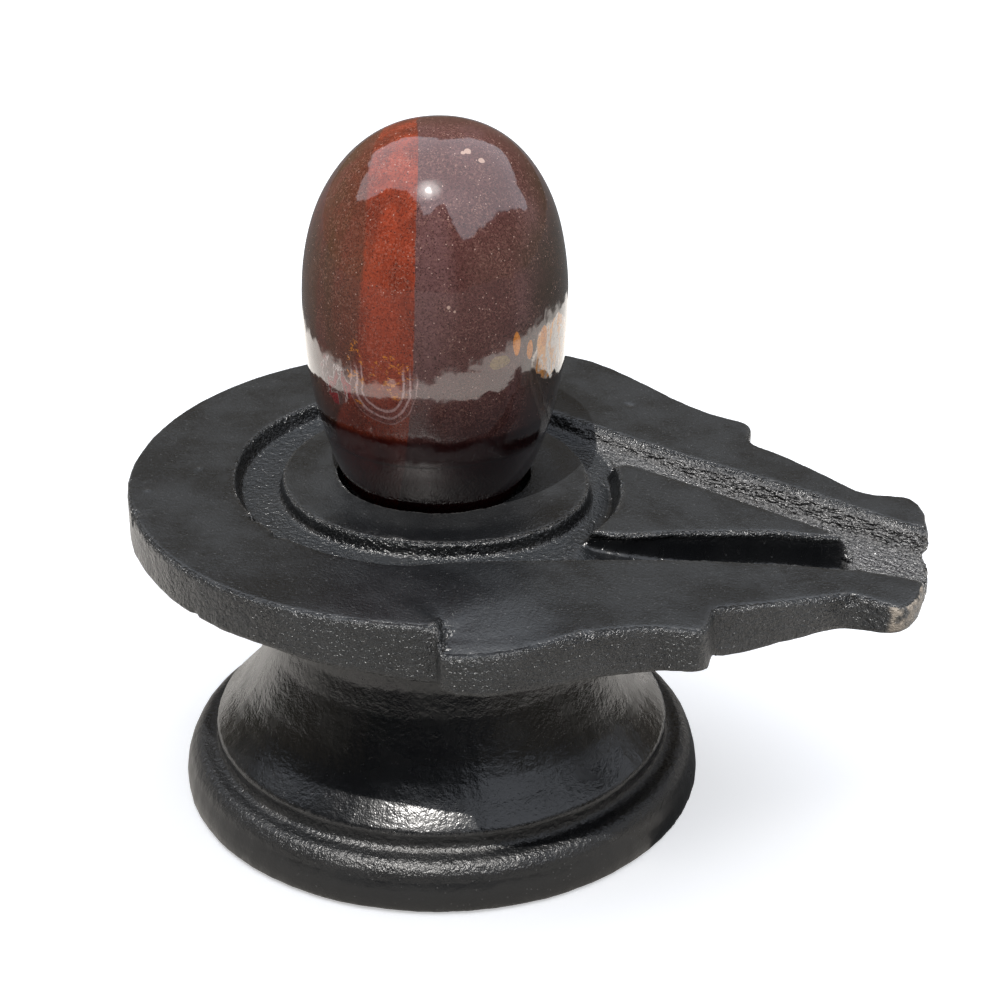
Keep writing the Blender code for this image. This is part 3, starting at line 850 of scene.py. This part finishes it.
# %% River stone: flecks, flames and the pale patch
YELLOW = (0.360, 0.130, 0.014)
FLAME_GROUND = (0.080, 0.048, 0.046)
CRIMSON = (0.170, 0.008, 0.011)
FLAME_RIM = (0.330, 0.280, 0.280)
PATCH_WHITE = (0.480, 0.430, 0.380)
PATCH_ORANGE = (0.500, 0.200, 0.020)
PATCH_DARK = (0.085, 0.045, 0.042)
OCHRE = (0.130, 0.085, 0.030)
AMBER = (0.420, 0.150, 0.016)
FLECKS = [((-5.0, -33.0, 137.0), (6.5, 8.0, 6.0)), ((-15.2, -30.5, 135.5), (2.6, 7.0, 9.5))]
AMBER_SPOTS = [((25.6, -22.0, 144.0), (1.1, 1.5, 3.6)), ((28.4, -18.4, 141.0), (0.9, 1.4, 2.6)),
               ((31.4, -13.6, 143.0), (1.1, 1.6, 3.2))]

ragged = signed_noise(tree, 230.0, 0.75, 3.0)
ragged_fine = signed_noise(tree, 800.0, 0.75, 2.0)


def soft_spot(tree, center, size, edge=ragged):
    """1 near a point and 0 outside an ellipsoid round it, with a ragged edge. All in millimetres."""
    total = None
    for value, middle, half in zip((x, y, z), center, size):
        part = math_node(tree, "DIVIDE", minus(tree, value, middle), half)
        part = times(tree, part, part)
        total = part if total is None else math_node(tree, "ADD", total, part)
    return rise(tree, math_node(tree, "ADD", total, edge), 1.05, 0.85)


def drawn_out(tree, up, scale, detail, roughness, distortion):
    return noise(tree, stretch(tree, place, (1.0, 1.0, up)), scale, detail, roughness, distortion)


flecks = rise(tree, drawn_out(tree, 1.5, 420.0, 3.0, 0.6, 1.2), 0.55, 0.62)
for center, size in FLECKS:
    color = paint(tree, color, times(tree, soft_spot(tree, center, size), flecks), 0.80, YELLOW)
flame_noise = drawn_out(tree, 0.45, 230.0, 3.0, 0.55, 1.5)
flame_zone = soft_spot(tree, (-22.2, -26.0, 131.8), (5.6, 8.0, 7.0))
color = paint(tree, color, flame_zone, 0.5, FLAME_GROUND)
color = paint(tree, color, times(tree, flame_zone, rise(tree, flame_noise, 0.52, 0.57)), 0.85, CRIMSON)
rims = times(tree, rise(tree, flame_noise, 0.465, 0.485), rise(tree, flame_noise, 0.52, 0.50))
color = paint(tree, color, times(tree, flame_zone, rims), 0.8, FLAME_RIM)
patch = soft_spot(tree, (33.0, -9.0, 138.5), (8.0, 10.5, 8.0))
patch_noise = drawn_out(tree, 0.38, 300.0, 3.0, 0.6, 1.0)
color = paint(tree, color, patch, 0.9, PATCH_WHITE)
color = paint(tree, color, times(tree, patch, rise(tree, patch_noise, 0.50, 0.55)), 0.9, PATCH_ORANGE)
color = paint(tree, color, times(tree, patch, rise(tree, patch_noise, 0.43, 0.38)), 0.6, PATCH_DARK)
color = paint(tree, color, soft_spot(tree, (22.0, -25.3, 140.0), (3.0, 3.2, 1.9)), 0.75, OCHRE)
for center, size in AMBER_SPOTS:
    color = paint(tree, color, soft_spot(tree, center, size), 0.85, AMBER)
print("river stone: flecks, flames and patch,", len(tree.nodes), "nodes")

# %% [markdown]
# Over all that comes a fine grain. A picture of grain would smear on an egg, so it is made in space as well.
# Mottling and dark hairlines darken what lies below, so they multiply. Light grains are sparse, dark ones
# denser. A few larger pale inclusions have places of their own, and so has a painted sparkle near the foot, a
# painted reflection of the sunlit collar. Low down the stone is darker in two steps, and a thin dark ring is
# a painted reflection of the socket's rim.

# %% River stone: grain, inclusions and oil
MOTTLE_TINT = (0.60, 0.54, 0.50)
HAIRLINE_TINT = (0.42, 0.36, 0.34)
DARK_GRAIN = (0.016, 0.008, 0.006)
LIGHT_HAIR = (0.260, 0.150, 0.120)
LIGHT_GRAIN = (0.330, 0.230, 0.200)
INCLUSION_PALE = (0.400, 0.290, 0.240)
SPARKLE_PALE = (0.400, 0.380, 0.380)
RIM_REFLECTION_LINE = (0.010, 0.008, 0.008)
LOWER_TINT, LOWEST_TINT = (0.34, 0.26, 0.26), (0.30, 0.15, 0.16)
INCLUSIONS = [((10.7, -8.8, 190.5), 1.0), ((9.6, -10.0, 190.3), 0.7), ((14.4, -9.7, 188.4), 0.9),
              ((9.9, -31.2, 156.5), 0.6), ((11.3, -30.9, 155.4), 0.5)]

light = use_group(tree, grain_group, Vector=place, Scale=1300.0, Share=0.075, Size=0.22)
dark = use_group(tree, grain_group, Vector=place, Scale=1250.0, Share=0.30, Size=0.27)
hair = use_group(tree, hair_group, Vector=place, Scale=980.0, Width=0.070)
shifted = stretch(tree, place, location=(0.3, 0.1, 0.2))
dark_hair = use_group(tree, hair_group, Vector=shifted, Scale=1250.0, Width=0.13)
mottle = rise(tree, noise(tree, place, 1100.0, 3.0, 0.7), 0.34, 0.66, 0.0, 0.60)
color = mix_color(tree, mottle, color, MOTTLE_TINT, "MULTIPLY")
color = mix_color(tree, times(tree, dark_hair, 0.80), color, HAIRLINE_TINT, "MULTIPLY")
color = paint(tree, color, dark, 0.60, DARK_GRAIN)
uneven = rise(tree, noise(tree, place, 130.0, 2.0), 0.35, 0.65, 0.35, 1.0)
color = paint(tree, color, times(tree, hair, uneven), 0.30, LIGHT_HAIR)
color = paint(tree, color, light, 0.60, LIGHT_GRAIN)
for center, size in INCLUSIONS:
    color = paint(tree, color, soft_spot(tree, center, (size, size, size), ragged_fine), 0.45, INCLUSION_PALE)
# A painted reflection: pale sparkle low at the front, where the sunlit collar is mirrored.
sparkle_spot = soft_spot(tree, (-0.6, -28.0, 104.5), (4.5, 5.0, 4.0))
color = paint(tree, color, times(tree, sparkle_spot, light), 0.9, SPARKLE_PALE)
# A thin dark ring: a painted reflection of the socket's rim on the polished stone.
rim_reflection_ring = times(tree, rise(tree, z, 109.2, 109.6), rise(tree, z, 110.4, 110.0))
color = paint(tree, color, rim_reflection_ring, 0.5, RIM_REFLECTION_LINE)
# Low down the stone is darker, in two steps.
low_level = wavy(tree, z, 70.0, 0.8)
color = mix_color(tree, rise(tree, low_level, 134.0, 119.5, 0.0, 0.50), color, LOWER_TINT, "MULTIPLY")
lowest_band = rise(tree, low_level, 119.0, 117.0)
color = mix_color(tree, lowest_band, color, LOWEST_TINT, "MULTIPLY")
tree.links.new(color, shader.inputs["Base Color"])
print("river stone: colour made with", len(tree.nodes), "nodes")

# %% [markdown]
# The polish is nearly a mirror, a little duller low down and along the thin ring. Its index of refraction is
# a little above that of real jasper, because that gives reflections as strong as on the real stone. A soft
# ripple and tiny pits could be displaced too, but they are only hundredths of a millimetre deep, so they are
# bumps.

# %% River stone: polish
polish = rise(tree, noise(tree, place, 90.0, 3.0), 0.35, 0.70, 0.045, 0.085)
polish = adjust(tree, polish, (rim_reflection_ring, 0.15), (lowest_band, 0.05))
tree.links.new(polish, shader.inputs["Roughness"])
shader.inputs["IOR"].default_value = 1.70
ripple = bump(tree, noise(tree, place, 160.0, 2.0, 0.5), 1.0, 0.00010)
tiny_pits = use_group(tree, grain_group, Vector=place, Scale=1100.0, Share=0.06, Size=0.25)
pitted = bump(tree, times(tree, tiny_pits, -1.0), 0.35, 0.0001)
tree.links.new(ripple.outputs["Normal"], pitted.inputs["Normal"])
tree.links.new(pitted.outputs["Normal"], shader.inputs["Normal"])
print("river stone:", len(tree.nodes), "nodes")

# %% [markdown]
# ## Put the pieces in place
#
# Each piece gets its material, rides on the one body, names its finish and stands for its CAD node, which
# stays in the model for collision only. Its CAD node stays in the model, hidden.

# %% Materials and places
for piece, material, slot, node in ((base, black_stone, "black_stone", "yoni_base"),
                                    (stone, river_stone, "river_stone", "lingam_stone")):
    piece.data.materials.clear()
    piece.data.materials.append(material)
    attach(piece, "root")
    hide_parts(node)
print("pieces:", base.name, stone.name)

# %% [markdown]
# ## Floor and ground
#
# The object stands on a plain pale floor. One white plane would do for most things, but polished stone would
# mirror it all over. So there are two. The floor is seen by the camera alone and takes only the soft light,
# which keeps it clean and pale. The ground just below it is seen by the reflections alone: a painted sunlit
# oval with a ragged edge, painted shade round it, and deeper painted shade close to the foot.

# %% Floor and ground
FLOOR_SIZE = 8.0
PAPER, PAPER_LIGHT, WHITE = (0.86, 0.855, 0.85), (0.88, 0.875, 0.87), (1.0, 1.0, 1.0, 1.0)
LIT_CENTER, LIT_REACH = (0.05, 0.050), (0.360, 0.325)
LIT_GROUND, UNLIT_GROUND, SHADED_GROUND = (0.56, 0.54, 0.51), (0.045, 0.045, 0.045), (0.05, 0.05, 0.05)


def flat_square(name, height):
    bpy.ops.mesh.primitive_plane_add(size=FLOOR_SIZE, location=(0.0, 0.0, height))
    made = bpy.context.object
    made.name = name
    only(made)
    bpy.ops.object.transform_apply(location=True, rotation=True, scale=True)
    return made


floor = flat_square("floor", -0.0002)
floor_paint, tree, shader, flat = new_material("floor_paint")
tree.links.new(mix_color(tree, noise(tree, flat, 3.0), PAPER, PAPER_LIGHT), shader.inputs["Base Color"])
shader.inputs["Roughness"].default_value = 0.9
shader.inputs["Emission Color"].default_value = WHITE
shader.inputs["Emission Strength"].default_value = 0.46
floor.data.materials.append(floor_paint)
floor.visible_diffuse = floor.visible_glossy = floor.visible_shadow = False

ground = flat_square("ground", -0.0010)
ground_paint, tree, shader, flat = new_material("ground_paint")
flat_lit = stretch(tree, flat, (1.0 / LIT_REACH[0], 1.0 / LIT_REACH[1], 1.0),
                   (-LIT_CENTER[0] / LIT_REACH[0], -LIT_CENTER[1] / LIT_REACH[1], 0.0))
away = adjust(tree, length_of(tree, flat_lit), (noise(tree, flat, 14.0, 4.0, 0.6), 0.45))
# Painted light and shade on the ground: a sunlit oval, shade beyond it, and more shade round the foot.
ground_color = mix_color(tree, rise(tree, away, 1.19, 1.26), LIT_GROUND, UNLIT_GROUND)
near_foot = rise(tree, length_of(tree, flat), 0.210, 0.120, 0.0, 0.62)
ground_color = mix_color(tree, near_foot, ground_color, SHADED_GROUND)
tree.links.new(ground_color, shader.inputs["Base Color"])
shader.inputs["Roughness"].default_value = 1.0
ground.data.materials.append(ground_paint)
ground.visible_camera = False
print("stage:", floor.name, ground.name)

# %% [markdown]
# ## The sun
#
# The object was lit by a high sun. The shadow that the plate throws on the foot gives its direction. An area
# lamp would blur that shadow, so it is a sun lamp with a small angle. Light linking keeps it off the pale
# floor, which has no hard shadow.

# %% The sun
SUN_DIRECTION = Vector((-0.067, -0.452, 1.0)).normalized()
SUN_STRENGTH, SUN_ANGLE, SUN_COLOR = 8.5, math.radians(0.6), (1.0, 0.97, 0.93)

sun = bpy.data.objects.new("sun", bpy.data.lights.new("sun", "SUN"))
scene.collection.objects.link(sun)
sun.data.energy = SUN_STRENGTH
sun.data.angle = SUN_ANGLE
sun.data.color = SUN_COLOR
sun.rotation_euler = SUN_DIRECTION.to_track_quat("Z", "Y").to_euler()
sunlit = bpy.data.collections.new("sunlit")
for thing in (base, stone, ground):
    sunlit.objects.link(thing)
sun.light_linking.receiver_collection = sunlit
print("sun from", [round(value, 2) for value in SUN_DIRECTION])

# %% [markdown]
# ## The sky
#
# The pale shapes on the polished stone are the open sky with its ragged lower edge, like a row of trees. A
# plain grey world gives no such shapes, and a picture of a place would need a file. So the edge is a list of
# headings and heights, held in a colour ramp that is read by the compass direction, and noise makes it
# ragged. Round the sun the sky is brighter, which widens the glints.

# %% The sky
OPEN_SKY = (1.44, 1.52, 1.68)
TREES, LAND_BEHIND, LAND_AT_SIDES = (0.070, 0.075, 0.085), (0.155, 0.130, 0.095), (0.25, 0.225, 0.185)
HAZE, HAZE_START, HAZE_POWER = (5.0, 4.9, 4.7), 0.970, 2.5
# Compass heading in degrees, 0 in front and counted towards the spout, and the height of the trees there
# (the first two are the ends of the compass, where the two stops of a new ramp are)
TREE_LINE = [(-180, 49), (180, 49), (-170, 52), (-155, 43), (-132, 31), (-112, 35), (-88, 26), (-78, 32),
             (-68, 49), (-48, 57), (-20, 53), (-6, 45), (4, 46), (10, 53), (20, 53), (27, 39), (35, 27),
             (42, 23), (58, 26), (86, 28), (104, 21), (120, 11), (125, 26), (152, 29), (166, 39)]

world = bpy.data.worlds.new("open_sky")
scene.world = world
world.use_nodes = True
tree = world.node_tree
direction = add_node(tree, "ShaderNodeTexCoord").outputs["Generated"]
split = add_node(tree, "ShaderNodeSeparateXYZ", {"Vector": direction}).outputs
compass = math_node(tree, "ARCTAN2", split["X"], times(tree, split["Y"], -1.0))
compass = math_node(tree, "MULTIPLY_ADD", compass, 0.5 / math.pi, 0.5)
tree_line = add_node(tree, "ShaderNodeValToRGB", {"Fac": compass})
for index, (heading, height) in enumerate(TREE_LINE):
    stops = tree_line.color_ramp.elements
    stop = stops[index] if index < 2 else stops.new(heading / 360.0 + 0.5)
    stop.color = (*[math.sin(math.radians(height))] * 3, 1.0)
leaves = noise(tree, direction, 9.0, 5.0, 0.6)
leaves = math_node(tree, "MULTIPLY_ADD", leaves, 0.10, minus(tree, split["Z"], 0.05))
open_sky = rise(tree, minus(tree, leaves, tree_line.outputs["Color"]), -0.006, 0.006)
sides = rise(tree, math_node(tree, "ABSOLUTE", split["X"]), 0.45, 0.85)
low_sides = times(tree, sides, rise(tree, split["Z"], 0.55, 0.10))
around = mix_color(tree, rise(tree, split["Y"], 0.2, 0.7), TREES, LAND_BEHIND)
around = mix_color(tree, low_sides, around, LAND_AT_SIDES)
sky = mix_color(tree, open_sky, around, OPEN_SKY)
toward_sun = add_node(tree, "ShaderNodeVectorMath", {0: direction, 1: SUN_DIRECTION}, operation="DOT_PRODUCT")
haze = math_node(tree, "POWER", rise(tree, toward_sun.outputs["Value"], HAZE_START, 1.0), HAZE_POWER)
sky = mix_color(tree, haze, sky, HAZE, "ADD")
tree.links.new(sky, tree.nodes["Background"].inputs["Color"])
print("sky edge in", len(TREE_LINE), "headings")
